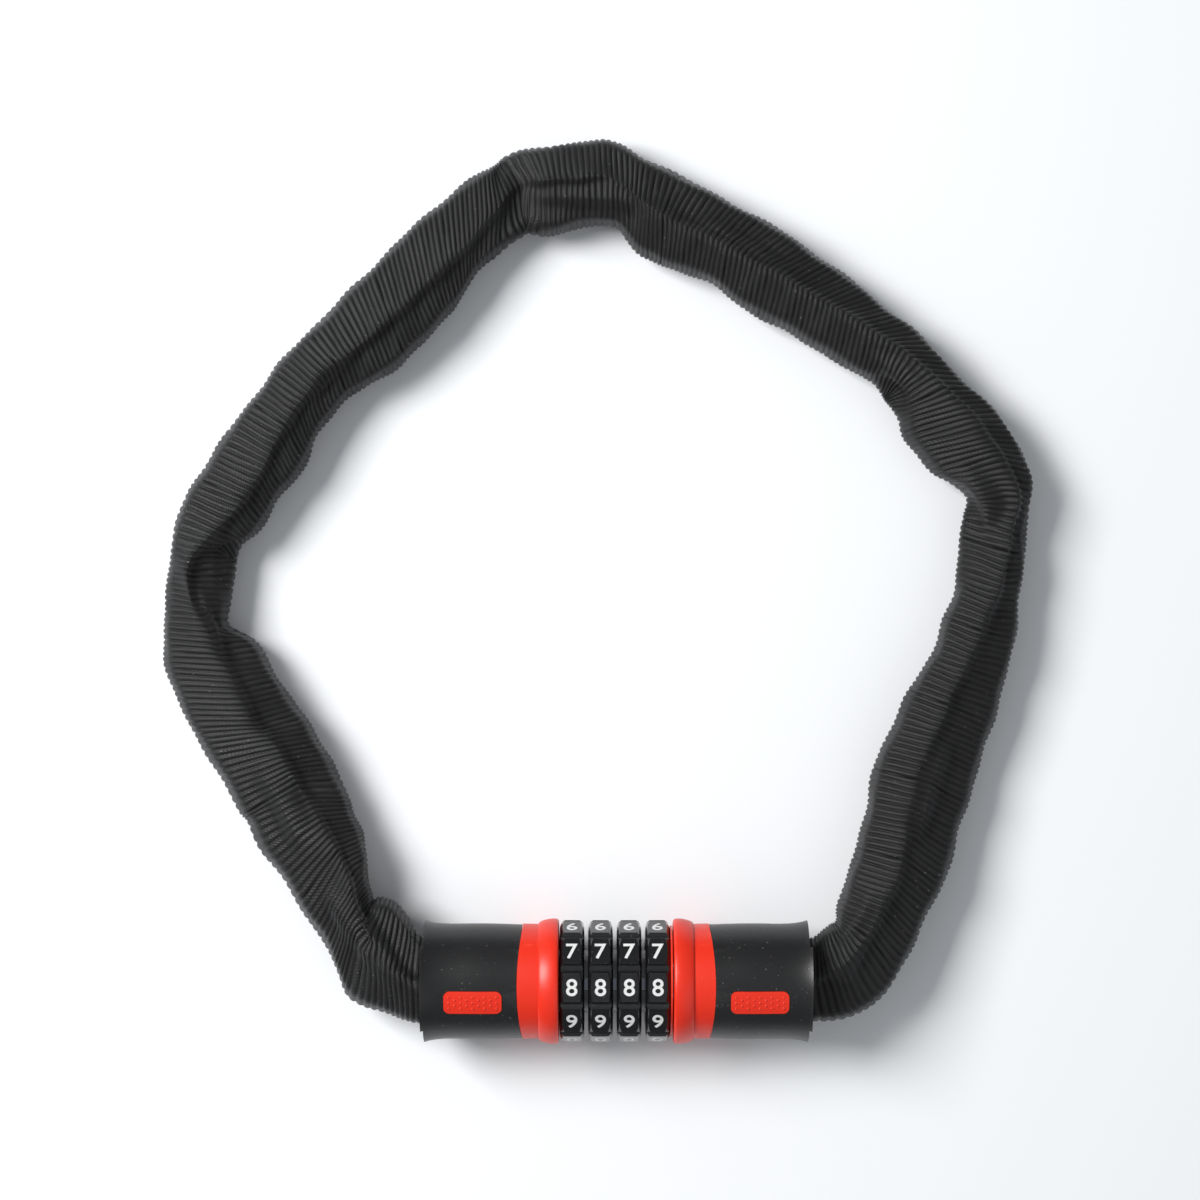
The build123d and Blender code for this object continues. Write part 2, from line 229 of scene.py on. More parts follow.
def mix(tree: bpy.types.NodeTree, factor: bpy.types.NodeSocket,
        first: Colour | bpy.types.NodeSocket,
        second: Colour | bpy.types.NodeSocket) -> bpy.types.NodeSocket:
    """Mixes two colours by a mask.

    Args:
        tree: the tree that takes the node.
        factor: the mask, 0 for the first colour and 1 for the second.
        first: a socket or an RGB colour.
        second: a socket or an RGB colour.

    Returns:
        The mixed colour's socket.
    """
    node = tree.nodes.new("ShaderNodeMix")
    node.data_type = "RGBA"
    tree.links.new(factor, node.inputs["Factor"])
    for socket, value in ((node.inputs[6], first), (node.inputs[7], second)):
        if isinstance(value, tuple):
            socket.default_value = (*value, 1.0)
        else:
            tree.links.new(value, socket)
    return node.outputs[2]


@dataclass(frozen=True)
class Finish:
    """A solid surface: base colour with blotches, grain, worn edges and dust.

    Attributes are the Principled shader's settings and the groups' own values.
    """

    name: str
    colour: Colour
    second: Colour
    worn: Colour
    roughness: tuple[float, float]
    metallic: float = 0.0
    coat: float = 0.0
    coat_roughness: float = 0.06
    specular: float = 0.5
    grain_scale: float = 3000.0
    grain_depth: float = 0.00002
    grain_strength: float = 0.3
    blotch_scale: float = 60.0
    wear: tuple[float, float] = (0.53, 0.62)
    dust_threshold: float = 0.72
    dust_share: float = 0.25
    dust_colour: Colour = (0.55, 0.54, 0.52)

    def build(self, groups: Groups) -> bpy.types.Material:
        """Makes the material.

        Args:
            groups: the shared node groups.

        Returns:
            The finished material.
        """
        material = bpy.data.materials.new(self.name)
        material.use_nodes = True
        tree = material.node_tree
        shader = tree.nodes["Principled BSDF"]
        shader.inputs["Metallic"].default_value = self.metallic
        shader.inputs["Coat Weight"].default_value = self.coat
        shader.inputs["Coat Roughness"].default_value = self.coat_roughness
        shader.inputs["Specular IOR Level"].default_value = self.specular
        grain = place_group(tree, groups.grain, {"Scale": self.grain_scale,
                                                 "Blotch Scale": self.blotch_scale})
        wear = place_group(tree, groups.wear, {"Start": self.wear[0], "End": self.wear[1]})
        dust = place_group(tree, groups.dust, {"Threshold": self.dust_threshold})
        base = mix(tree, grain.outputs["Blotch"], self.colour, self.second)
        worn = mix(tree, wear.outputs["Mask"], base, self.worn)
        faint = tree.nodes.new("ShaderNodeMath")
        faint.operation = "MULTIPLY"
        faint.inputs[1].default_value = self.dust_share
        tree.links.new(dust.outputs["Mask"], faint.inputs[0])
        dusty = mix(tree, faint.outputs["Value"], worn, self.dust_colour)
        tree.links.new(dusty, shader.inputs["Base Color"])
        gloss = tree.nodes.new("ShaderNodeMapRange")
        gloss.inputs["To Min"].default_value = self.roughness[0]
        gloss.inputs["To Max"].default_value = self.roughness[1]
        tree.links.new(grain.outputs["Blotch"], gloss.inputs["Value"])
        tree.links.new(gloss.outputs["Result"], shader.inputs["Roughness"])
        bump = tree.nodes.new("ShaderNodeBump")
        bump.inputs["Strength"].default_value = self.grain_strength
        bump.inputs["Distance"].default_value = self.grain_depth
        tree.links.new(grain.outputs["Height"], bump.inputs["Height"])
        tree.links.new(bump.outputs["Normal"], shader.inputs["Normal"])
        return material


@dataclass(frozen=True)
class Webbing(Finish):
    """Ribbed black webbing: threads twisted over each rib, with lint; painted shade darkens the
    rib valleys, so the crests read lighter, partly as faded fibre and partly as painted sheen.
    """

    thread_scale: float = 900.0
    thread_wander: float = 2.0
    thread_detail: float = 2.0
    thread_strength: float = 0.45
    thread_depth: float = 0.00012
    # valley_shade is the painted shade in the rib valleys; crest_shade keeps the crests at the
    # webbing's own colour
    valley_shade: Colour = (0.1, 0.1, 0.1)
    crest_shade: Colour = (1.0, 1.0, 1.0)
    sheen: float = 0.08
    sheen_roughness: float = 0.4

    def build(self, groups: Groups) -> bpy.types.Material:
        """Makes the material on top of the plain finish.

        Args:
            groups: the shared node groups.

        Returns:
            The finished material.
        """
        material = super().build(groups)
        tree = material.node_tree
        shader = tree.nodes["Principled BSDF"]
        shader.inputs["Sheen Weight"].default_value = self.sheen
        shader.inputs["Sheen Roughness"].default_value = self.sheen_roughness
        place = tree.nodes.new("ShaderNodeUVMap")
        place.uv_map = "weave"
        wave = tree.nodes.new("ShaderNodeTexWave")
        wave.bands_direction = "DIAGONAL"
        wave.inputs["Scale"].default_value = self.thread_scale
        wave.inputs["Distortion"].default_value = self.thread_wander
        wave.inputs["Detail"].default_value = self.thread_detail
        tree.links.new(place.outputs["UV"], wave.inputs["Vector"])
        thread = tree.nodes.new("ShaderNodeBump")
        thread.inputs["Strength"].default_value = self.thread_strength
        thread.inputs["Distance"].default_value = self.thread_depth
        first = shader.inputs["Normal"].links[0].from_socket
        tree.links.new(wave.outputs["Fac"], thread.inputs["Height"])
        tree.links.new(first, thread.inputs["Normal"])
        tree.links.new(thread.outputs["Normal"], shader.inputs["Normal"])
        # Painted shade: the crest mask darkens the colour in the rib valleys, which leaves the
        # crests lighter, partly as fading and partly as painted sheen
        crest = tree.nodes.new("ShaderNodeAttribute")
        crest.attribute_name = "crest"
        base = shader.inputs["Base Color"].links[0].from_socket
        shade = mix(tree, crest.outputs["Fac"], self.valley_shade, self.crest_shade)
        times = tree.nodes.new("ShaderNodeMix")
        times.data_type = "RGBA"
        times.blend_type = "MULTIPLY"
        times.inputs["Factor"].default_value = 1.0
        tree.links.new(base, times.inputs[6])
        tree.links.new(shade, times.inputs[7])
        tree.links.new(times.outputs[2], shader.inputs["Base Color"])
        return material


FINISHES = {
    Slot.SHELL: Finish("black_shell_plastic", (0.008, 0.008, 0.0085), (0.014, 0.014, 0.0145),
                       (0.04, 0.04, 0.04), (0.3, 0.42), specular=0.4, grain_scale=2600.0,
                       grain_depth=0.00005, grain_strength=0.55, dust_share=0.2),
    Slot.RED: Finish("red_satin_plastic", (0.8, 0.026, 0.005), (0.72, 0.02, 0.004),
                     (0.85, 0.05, 0.02), (0.34, 0.44), grain_strength=0.2,
                     dust_share=0.08),
    Slot.DIAL: Finish("polished_black_dial", (0.004, 0.004, 0.0045), (0.008, 0.008, 0.009),
                      (0.03, 0.03, 0.03), (0.05, 0.12), coat=0.4, specular=0.4,
                      grain_strength=0.05, dust_share=0.1),
    Slot.BRASS: Finish("turned_brass", (0.75, 0.55, 0.22), (0.6, 0.42, 0.16),
                       (0.85, 0.68, 0.35), (0.22, 0.38), metallic=1.0),
    Slot.ZINC: Finish("cast_zinc", (0.42, 0.42, 0.43), (0.33, 0.33, 0.34), (0.6, 0.6, 0.6),
                      (0.4, 0.6), metallic=1.0, grain_scale=1500.0, grain_depth=0.00008),
    Slot.STEEL: Finish("plated_steel", (0.6, 0.6, 0.61), (0.5, 0.5, 0.51), (0.75, 0.75, 0.75),
                       (0.2, 0.35), metallic=1.0),
    Slot.SPRING_STEEL: Finish("blued_spring_steel", (0.2, 0.22, 0.28), (0.3, 0.3, 0.33),
                              (0.55, 0.55, 0.55), (0.2, 0.32), metallic=1.0),
    Slot.LINK_STEEL: Finish("grey_chain_steel", (0.3, 0.3, 0.31), (0.22, 0.22, 0.23),
                            (0.6, 0.6, 0.6), (0.28, 0.48), metallic=1.0,
                            grain_scale=1800.0, grain_depth=0.00005),
    # The webbing's worn colour lightens its convex rib crests, partly as wear and partly as
    # painted sheen
    Slot.FABRIC: Webbing("ribbed_black_webbing", (0.007, 0.007, 0.0073), (0.014, 0.014, 0.0145),
                         (0.03, 0.03, 0.03), (0.4, 0.56), specular=0.32, grain_scale=5000.0,
                         grain_depth=0.00006, grain_strength=0.5, blotch_scale=45.0,
                         dust_threshold=0.74, dust_share=0.3),
}
DIGIT_PAINT = Finish("white_digit_paint", (0.86, 0.86, 0.85), (0.76, 0.76, 0.75),
                     (0.6, 0.6, 0.6), (0.35, 0.5), dust_share=0.0)


class Paintshop:
    """Builds every finish once and hands them out."""

    def __init__(self) -> None:
        """Builds the groups and the materials."""
        groups = Groups()
        self.by_slot = {slot: finish.build(groups) for slot, finish in FINISHES.items()}
        self.digits = DIGIT_PAINT.build(groups)

    def dress(self, piece: bpy.types.Object, material: bpy.types.Material) -> None:
        """Gives a piece one material in every slot.

        Args:
            piece: the object.
            material: its finish.
        """
        if not piece.data.materials:
            piece.data.materials.append(material)
        for index in range(len(piece.data.materials)):
            piece.data.materials[index] = material


def mesh_object(name: str, mesh: bpy.types.Mesh) -> bpy.types.Object:
    """Makes an object for a mesh and links it into the scene.

    Args:
        name: the object's name.
        mesh: its mesh, or a curve.

    Returns:
        The object.
    """
    piece = bpy.data.objects.new(name, mesh)
    bpy.context.scene.collection.objects.link(piece)
    return piece


# --------------------------------------------------------------------------- metalwork


class Hardware:
    """The frame's own parts: shells, collars, dials, links and fittings."""

    def dress(self, paint: Paintshop) -> None:
        """Gives every part that stays its finish.

        Args:
            paint: the finishes.
        """
        slots = {p["node"]: Slot(p["material_slot"]) for p in frame["record"]["subparts"]}
        for name, piece in frame["nodes"].items():
            paint.dress(piece, paint.by_slot[slots[name]])
            log.info("dressed %s as %s", name, slots[name].value)


@dataclass
class Digits:
    """White numbers on the dials' flats, 0 to 9 on each."""

    count: int = 10
    shown: int = 8
    height: float = 4.4 * MM
    width_share: float = 1.04
    bold: float = 0.012
    raised: float = 0.06 * MM
    sunk: float = 0.05 * MM
    flat_r: float = 15.3 * MM
    curve_steps: int = 6

    def glyph(self, number: int) -> bpy.types.Mesh:
        """One number as a thin mesh, centred, with its top towards +Y.

        Args:
            number: what it shows.

        Returns:
            The mesh, lying in the XY plane.
        """
        curve = bpy.data.curves.new(f"glyph_{number}", "FONT")
        curve.body = str(number)
        curve.size = 1.0
        curve.offset = self.bold
        curve.extrude = 0.5
        curve.resolution_u = self.curve_steps
        holder = mesh_object("glyph", curve)
        bpy.context.view_layer.update()
        mesh = bpy.data.meshes.new_from_object(holder.evaluated_get(
            bpy.context.evaluated_depsgraph_get()))
        bpy.data.objects.remove(holder)
        points = np.array([v.co for v in mesh.vertices])
        middle = (points.min(0) + points.max(0)) / 2
        size = self.height / (points[:, 1].max() - points[:, 1].min())
        thick = self.raised + self.sunk
        scale = Matrix.Diagonal((size * self.width_share, size, thick, 1.0))
        mesh.transform(scale @ Matrix.Translation(-Vector(middle)))
        return mesh

    def build(self, paint: Paintshop) -> None:
        """Makes one piece of ten numbers for each dial, riding on it.

        Args:
            paint: the finishes.
        """
        dials = [n for n in frame["nodes"] if n.startswith("dial_") and n[-1].isdigit()]
        for dial in sorted(dials):
            low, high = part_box(dial)
            centre = (low + high) / 2
            whole = bmesh.new()
            for number in range(self.count):
                turn = math.radians((number - self.shown) * 360 / self.count)
                mesh = self.glyph(number)
                out = self.flat_r + (self.raised - self.sunk) / 2
                mesh.transform(Matrix.Translation(centre) @ Matrix.Rotation(turn, 4, "X")
                               @ Matrix.Translation((0, 0, out)))
                whole.from_mesh(mesh)
                bpy.data.meshes.remove(mesh)
            mesh = bpy.data.meshes.new(f"{dial}_digits")
            whole.to_mesh(mesh)
            whole.free()
            piece = mesh_object(f"{dial}_digits", mesh)
            paint.dress(piece, paint.digits)
            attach(piece, dial)
            log.info("built %s", piece.name)


@dataclass
class GripDots:
    """The staggered raised dots on the two red inlays."""

    rows: tuple[int, ...] = (5, 4, 5, 4, 5)
    pitch: float = 3.06 * MM
    row_gap: float = 0.78 * MM
    radius: float = 0.36 * MM
    rise: float = 0.2 * MM
    tilt_deg: float = 15.5
    rings: int = 5
    sides: int = 16
    ray_start: float = 30 * MM
    seat: float = 0.02 * MM

    def dome(self, whole: bmesh.types.BMesh, place: Matrix) -> None:
        """Adds one shallow dome.

        Args:
            whole: the mesh that takes it.
            place: its frame, with Z pointing out of the inlay.
        """
        loops = []
        for ring in range(self.rings):
            slope = math.pi / 2 * ring / self.rings
            r, z = self.radius * math.cos(slope), self.rise * math.sin(slope)
            loops.append([whole.verts.new(place @ Vector(
                (r * math.cos(a), r * math.sin(a), z)))
                for a in np.linspace(0, 2 * math.pi, self.sides, endpoint=False)])
        top = whole.verts.new(place @ Vector((0, 0, self.rise)))
        for low, high in zip(loops, loops[1:]):
            for i in range(self.sides):
                j = (i + 1) % self.sides
                whole.faces.new((low[i], low[j], high[j], high[i]))
        for i in range(self.sides):
            whole.faces.new((loops[-1][i], loops[-1][(i + 1) % self.sides], top))
        whole.faces.new(list(reversed(loops[0])))

    def build(self, paint: Paintshop) -> None:
        """Makes the dots of both inlays, seated on their curved faces.

        Args:
            paint: the finishes.
        """
        axis_z = frame["joints"][0]["pos_m"][2]
        tilt = math.radians(self.tilt_deg)
        for side, body in (("left", "lock_body"), ("right", "plug")):
            inlay = frame["nodes"][f"{side}_grip"]
            low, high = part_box(f"{side}_grip")
            middle_x = (low.x + high.x) / 2
            whole = bmesh.new()
            for row, number in enumerate(self.rows):
                across = (row - (len(self.rows) - 1) / 2) * self.row_gap
                # the barrel lies on the table, so the inlay's top is two radii up
                turn = tilt - across / high.z * 2
                out = Vector((0, -math.sin(turn), math.cos(turn)))
                for k in range(number):
                    x = middle_x + (k - (number - 1) / 2) * self.pitch
                    start = Vector((x, 0, axis_z)) + out * self.ray_start
                    hit, where, normal, _ = inlay.ray_cast(start, -out)
                    if not hit:
                        continue
                    facing = normal.to_track_quat("Z", "X").to_matrix().to_4x4()
                    self.dome(whole, Matrix.Translation(where - normal * self.seat) @ facing)
            mesh = bpy.data.meshes.new(f"{side}_grip_dots")
            whole.to_mesh(mesh)
            whole.free()
            mesh.shade_smooth()
            piece = mesh_object(f"{side}_grip_dots", mesh)
            paint.dress(piece, paint.by_slot[Slot.RED])
            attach(piece, body)
            log.info("built %s", piece.name)


# --------------------------------------------------------------------------- sleeve

# The sleeve's cross-lines from the left mouth round to the right one, chosen along
# its ribs: outer edge, crease and inner edge in plan, then lowest and highest point, all mm.
STATIONS_MM = (
    ((-45.8, -10.2), (-45.8, 1.0), (-45.8, 10.6), 8.0, 24.6),
    ((-51.0, -11.3), (-51.5, 1.0), (-51.0, 12.2), 7.4, 25.0),
    ((-55.5, -10.4), (-56.0, 3.0), (-53.6, 17.0), 6.4, 25.0),
    ((-60.5, -9.0), (-60.6, 6.5), (-57.6, 21.4), 5.0, 24.4),
    ((-66.0, -7.2), (-64.4, 9.0), (-61.4, 22.0), 3.8, 23.4),
    ((-70.4, -4.6), (-66.4, 12.6), (-63.7, 20.4), 2.8, 21.6),
    ((-73.2, 0.2), (-67.4, 18.0), (-64.4, 23.0), 1.8, 21.8),
    ((-76.4, 7.2), (-68.4, 24.6), (-64.9, 28.0), 0.9, 21.4),
    ((-80.4, 13.4), (-70.4, 30.6), (-65.3, 33.5), 0.3, 20.2),
    ((-86.2, 23.2), (-73.4, 37.0), (-66.1, 38.8), 0.1, 19.0),
    ((-93.1, 32.6), (-77.4, 43.6), (-68.0, 44.2), 0.0, 18.4),
    ((-96.9, 40.6), (-80.2, 48.4), (-70.0, 48.2), 0.0, 18.0),
    ((-99.0, 43.0), (-82.6, 52.4), (-72.3, 53.0), 0.0, 18.0),
    ((-104.0, 50.6), (-85.4, 57.2), (-75.2, 58.8), 0.0, 18.2),
    ((-109.0, 59.4), (-89.3, 63.0), (-79.0, 64.8), 0.0, 18.2),
    ((-113.2, 67.2), (-94.0, 67.6), (-82.6, 70.9), 0.0, 18.0),
    ((-116.6, 75.0), (-97.2, 74.6), (-86.5, 77.0), 0.0, 18.0),
    ((-118.6, 82.7), (-100.6, 81.6), (-90.5, 83.0), 0.0, 17.9),
    ((-119.2, 89.4), (-104.2, 88.2), (-94.6, 88.9), 0.0, 17.7),
    ((-119.0, 95.0), (-107.4, 93.8), (-101.4, 92.4), 0.0, 17.4),
    ((-118.0, 100.4), (-110.0, 99.0), (-101.9, 98.6), 0.0, 17.2),
    ((-117.4, 106.4), (-111.2, 104.8), (-102.6, 105.0), 0.0, 17.2),
    ((-117.0, 112.6), (-109.6, 110.8), (-103.3, 111.4), 0.0, 17.3),
    ((-115.7, 120.0), (-104.8, 116.0), (-99.6, 113.6), 0.0, 17.5),
    ((-112.6, 126.8), (-99.4, 121.0), (-94.4, 115.4), 0.0, 17.9),
    ((-108.8, 133.8), (-94.6, 127.4), (-90.4, 121.0), 0.0, 18.2),
    ((-103.9, 141.6), (-90.4, 134.8), (-86.8, 127.6), 0.0, 18.2),
    ((-97.4, 150.8), (-86.2, 143.2), (-81.4, 134.0), 0.0, 18.2),
    ((-91.0, 158.8), (-81.0, 151.2), (-78.0, 141.6), 0.0, 18.2),
    ((-84.0, 166.4), (-75.4, 157.8), (-72.4, 149.0), 0.0, 18.2),
    ((-76.4, 174.2), (-69.0, 162.8), (-66.0, 154.0), 0.0, 18.2),
    ((-68.4, 182.8), (-62.2, 168.4), (-58.8, 158.8), 0.0, 18.2),
    ((-60.4, 191.4), (-55.4, 175.0), (-51.6, 164.9), 0.0, 18.2),
    ((-52.0, 198.8), (-48.4, 181.6), (-45.0, 172.0), 0.0, 18.2),
    ((-43.4, 206.0), (-41.4, 188.2), (-39.8, 177.6), 0.0, 18.2),
    ((-36.6, 211.0), (-35.6, 194.4), (-36.2, 185.0), 0.0, 18.0),
    ((-33.0, 213.0), (-30.8, 200.0), (-31.8, 188.8), 0.0, 16.6),
    ((-31.6, 214.8), (-27.6, 205.2), (-27.2, 193.8), 0.0, 13.6),
    ((-30.4, 216.2), (-25.0, 207.6), (-24.4, 197.2), 0.0, 11.8),
    ((-26.6, 217.5), (-22.4, 208.4), (-22.2, 198.2), 0.0, 14.0),
    ((-21.6, 218.1), (-18.6, 208.0), (-18.4, 194.8), 0.0, 17.6),
    ((-15.0, 218.9), (-13.6, 208.4), (-14.0, 194.8), 0.0, 18.3),
    ((-8.4, 219.8), (-7.8, 209.0), (-8.0, 196.0), 0.0, 18.2),
    ((-3.8, 220.1), (-2.8, 209.2), (-3.0, 196.3), 0.0, 17.8),
    ((-0.2, 219.0), (0.4, 207.8), (0.6, 195.6), 0.0, 17.6),
    ((3.4, 217.6), (3.4, 205.6), (3.2, 192.8), 0.0, 17.8),
    ((8.4, 215.1), (7.0, 202.4), (6.4, 188.9), 0.0, 18.2),
    ((16.0, 212.0), (11.6, 199.4), (11.0, 187.0), 0.0, 18.3),
    ((24.6, 207.1), (17.6, 196.6), (16.4, 185.2), 0.0, 18.3),
    ((33.0, 202.6), (24.6, 193.2), (22.8, 182.6), 0.0, 18.3),
    ((41.0, 197.8), (31.6, 189.8), (29.2, 177.9), 0.0, 18.3),
    ((48.8, 192.4), (38.8, 186.0), (36.0, 173.2), 0.0, 18.3),
    ((56.4, 187.6), (46.0, 182.0), (43.4, 169.6), 0.0, 18.3),
    ((64.0, 182.2), (53.4, 177.6), (51.0, 165.8), 0.0, 18.3),
    ((70.8, 176.4), (60.4, 173.0), (58.0, 160.8), 0.0, 18.3),
    ((77.6, 170.8), (67.8, 168.6), (64.8, 156.7), 0.0, 18.3),
    ((84.8, 163.1), (75.4, 163.6), (70.8, 155.2), 0.0, 18.4),
    ((91.0, 156.8), (83.0, 157.2), (74.0, 151.6), 0.0, 18.6),
    ((96.8, 151.6), (89.4, 151.6), (74.4, 146.8), 0.0, 18.8),
    ((101.8, 146.9), (93.6, 146.4), (75.4, 141.6), 0.0, 18.8),
    ((105.6, 141.0), (96.8, 141.4), (78.4, 136.8), 0.0, 18.6),
    ((107.9, 135.6), (100.2, 136.8), (82.6, 132.2), 0.0, 18.3),
    ((109.0, 129.4), (103.4, 131.0), (87.6, 129.3), 0.0, 18.0),
    ((108.2, 122.6), (104.8, 124.6), (92.6, 125.6), 0.0, 17.4),
    ((106.4, 116.8), (103.6, 118.0), (93.2, 121.0), 0.0, 16.6),
    ((107.0, 111.4), (102.6, 111.8), (91.8, 115.4), 0.0, 17.4),
    ((107.0, 105.4), (101.0, 105.4), (90.7, 109.4), 0.0, 17.9),
    ((106.5, 98.0), (98.6, 98.4), (89.0, 102.4), 0.0, 18.1),
    ((105.2, 88.6), (95.2, 90.4), (85.8, 94.4), 0.0, 18.2),
    ((102.9, 79.6), (91.6, 82.8), (82.6, 86.4), 0.0, 18.2),
    ((100.4, 71.2), (88.2, 75.4), (78.6, 79.6), 0.0, 18.2),
    ((97.9, 61.8), (85.0, 67.6), (74.4, 71.2), 0.0, 18.2),
    ((95.6, 53.4), (81.6, 59.8), (70.6, 62.6), 0.0, 18.3),
    ((93.0, 45.0), (78.6, 52.0), (67.2, 54.6), 0.0, 18.6),
    ((90.2, 37.0), (76.6, 44.4), (65.2, 46.6), 0.0, 19.0),
    ((87.2, 27.8), (75.4, 36.4), (63.4, 38.6), 0.2, 20.0),
    ((83.8, 20.2), (73.6, 28.6), (61.5, 31.6), 0.7, 21.4),
    ((80.0, 12.2), (70.6, 21.4), (59.4, 25.2), 1.6, 22.6),
    ((76.4, 4.6), (67.2, 15.2), (58.0, 18.8), 2.6, 23.2),
    ((71.9, -3.0), (63.2, 9.4), (57.2, 15.6), 3.8, 23.8),
    ((66.6, -7.8), (59.6, 5.2), (55.6, 15.0), 5.2, 24.6),
    ((60.4, -10.0), (55.6, 2.6), (53.2, 13.6), 6.4, 25.0),
    ((51.8, -10.4), (51.0, 1.0), (50.9, 11.4), 7.4, 25.0),
    ((45.8, -10.2), (45.8, 1.0), (45.8, 10.6), 8.0, 24.6),
)


@dataclass
class Sleeve:
    """The gathered webbing tube over the chain, one piece for each pivot that it crosses.

    Rows of the mesh run along the ribs. Each row goes round the tube: up the outer side,
    over the shoulder and the crease, down the inner side and back along the table.
    """

    rib: float = 1.55 * MM
    rows_per_rib: int = 7
    rib_depth: float = 0.62 * MM
    around: tuple[int, ...] = (6, 10, 4, 4, 10, 6, 6, 8, 8, 6)
    edge_level: float = 0.38
    shoulder_level: float = 0.76
    shoulder_in: float = 0.15
    lap_in: float = 0.14
    lap_drop: float = 0.13
    bottom_in: float = 0.13
    lap_turnover: float = 20 * MM
    steps_per_station: int = 40
    smooth_passes: int = 2
    slow_waves: tuple[tuple[float, float, int, float], ...] = (
        (0.35 * MM, 0.21, 1, 0.0), (0.25 * MM, 0.47, -2, 1.3), (0.16 * MM, 0.83, 3, 2.1))
    rib_wander: float = 0.07
    wander_waves: int = 3
    wander_rate: float = 0.9
    crest_power: float = 0.55
    depth_change: float = 0.15
    depth_rate: float = 2.39
    drape_gap: float = 1.5 * MM
    link_gap: float = 0.45 * MM
    push_most: float = 1.2 * MM
    push_rounds: int = 8
    push_reach: float = 20 * MM
    ease_rows: int = 24
    blend_half: float = 3.5 * MM
    cut_width: float = 66.0 * MM
    gather: float = 1.25
    links: list[str] = field(default_factory=list)
    row_middle: np.ndarray = field(default_factory=lambda: np.zeros((0, 2)))

    def rails(self) -> np.ndarray:
        """The control loop of every mesh row.

        Returns:
            Points in metres, shaped rows × controls × 3, evenly spaced along the crease.
        """
        stations = np.array([[*o, *c, *i, low, top] for o, c, i, low, top in STATIONS_MM]) * MM
        steps = np.linspace(0, len(stations) - 1, self.steps_per_station * len(stations))
        fine = self.through(stations, steps)
        middle = fine[:, 0:6].reshape(-1, 3, 2).mean(1)
        length = np.concatenate([[0], np.cumsum(np.linalg.norm(np.diff(middle, axis=0), axis=1))])
        ribs = int(length[-1] / self.rib)
        rows = ribs * self.rows_per_rib + 1
        at = np.interp(np.linspace(0, length[-1], rows), length, steps)
        row = self.through(stations, at)
        outer, crease, inner = row[:, 0:2], row[:, 2:4], row[:, 4:6]
        low, top = row[:, 6], row[:, 7]

        def point(plan: np.ndarray, level: float) -> np.ndarray:
            """Plan points lifted to a share of the tube's height."""
            return np.column_stack([plan, low + (top - low) * level])

        def part(a: np.ndarray, b: np.ndarray, share: float) -> np.ndarray:
            """Points part of the way from a to b."""
            return a + (b - a) * share

        self.row_middle = (outer + crease + inner) / 3
        right = np.clip(crease[:, :1] / self.lap_turnover, -1, 1)
        lap_outer = 1 - self.lap_drop * (1 + right[:, 0]) / 2
        lap_inner = 1 - self.lap_drop * (1 - right[:, 0]) / 2
        return np.stack([
            point(outer, self.edge_level),
            point(part(outer, crease, self.shoulder_in), self.shoulder_level),
            point(part(crease, outer, self.lap_in), lap_outer),
            point(crease, 1.0),
            point(part(crease, inner, self.lap_in), lap_inner),
            point(part(inner, crease, self.shoulder_in), self.shoulder_level),
            point(inner, self.edge_level),
            point(part(inner, outer, self.bottom_in), 0.0),
            point(part(inner, outer, 0.5), 0.0),
            point(part(outer, inner, self.bottom_in), 0.0),
        ], axis=1)

    @staticmethod
    def through(points: np.ndarray, at: np.ndarray) -> np.ndarray:
        """A smooth curve through points.

        Args:
            points: one row per station.
            at: station numbers, whole or not, in order.

        Returns:
            The curve at those numbers.
        """
        index = np.clip(at.astype(int), 0, len(points) - 2)
        t = (at - index)[:, None]
        padded = np.vstack([2 * points[0] - points[1], points, 2 * points[-1] - points[-2]])
        a, b, c, d = (padded[index + k] for k in range(4))
        return 0.5 * (2 * b + (c - a) * t + (2 * a - 5 * b + 4 * c - d) * t**2
                      + (3 * b - a - 3 * c + d) * t**3)

    def surface(self) -> tuple[np.ndarray, np.ndarray, np.ndarray]:
        """The whole ribbed tube.

        Returns:
            Points shaped rows × around × 3, the weave's coordinates and the ribs' crests, which
            also mask the painted shade in the rib valleys.
        """
        controls = self.rails()
        spans = []
        for k, count in enumerate(self.around):
            share = np.arange(count)[None, :, None] / count
            a, b = controls[:, k], controls[:, (k + 1) % controls.shape[1]]
            spans.append(a[:, None] + (b - a)[:, None] * share)
        tube = np.concatenate(spans, axis=1)
        for _ in range(self.smooth_passes):
            tube = (np.roll(tube, 1, 1) + 2 * tube + np.roll(tube, -1, 1)) / 4
        rows, around = tube.shape[:2]
        ribs = np.arange(rows) / self.rows_per_rib
        turn = np.linspace(0, 2 * math.pi, around, endpoint=False)
        slow = sum(depth * np.sin(ribs[:, None] * rate + turn[None] * waves + start)
                   for depth, rate, waves, start in self.slow_waves)
        tube = tube + self.normals(tube) * slow[:, :, None]
        normal = self.normals(tube)
        flat = tube.copy()
        tube = self.pushed(tube, normal, self.drape_gap)
        moved = tube - flat
        ease = np.hanning(2 * self.ease_rows + 1)
        ease /= ease.sum()
        padded = np.pad(moved, ((self.ease_rows, self.ease_rows), (0, 0), (0, 0)), mode="edge")
        eased = sum(w * padded[k:k + rows] for k, w in enumerate(ease))
        eased = (eased + np.roll(eased, 1, 1) + np.roll(eased, -1, 1)) / 3
        tube = self.pushed(flat + eased, normal, self.link_gap)
        normal = self.normals(tube)
        wander = np.sin(turn[None] * self.wander_waves + ribs[:, None] * self.wander_rate)
        phase = ribs[:, None] + self.rib_wander * wander
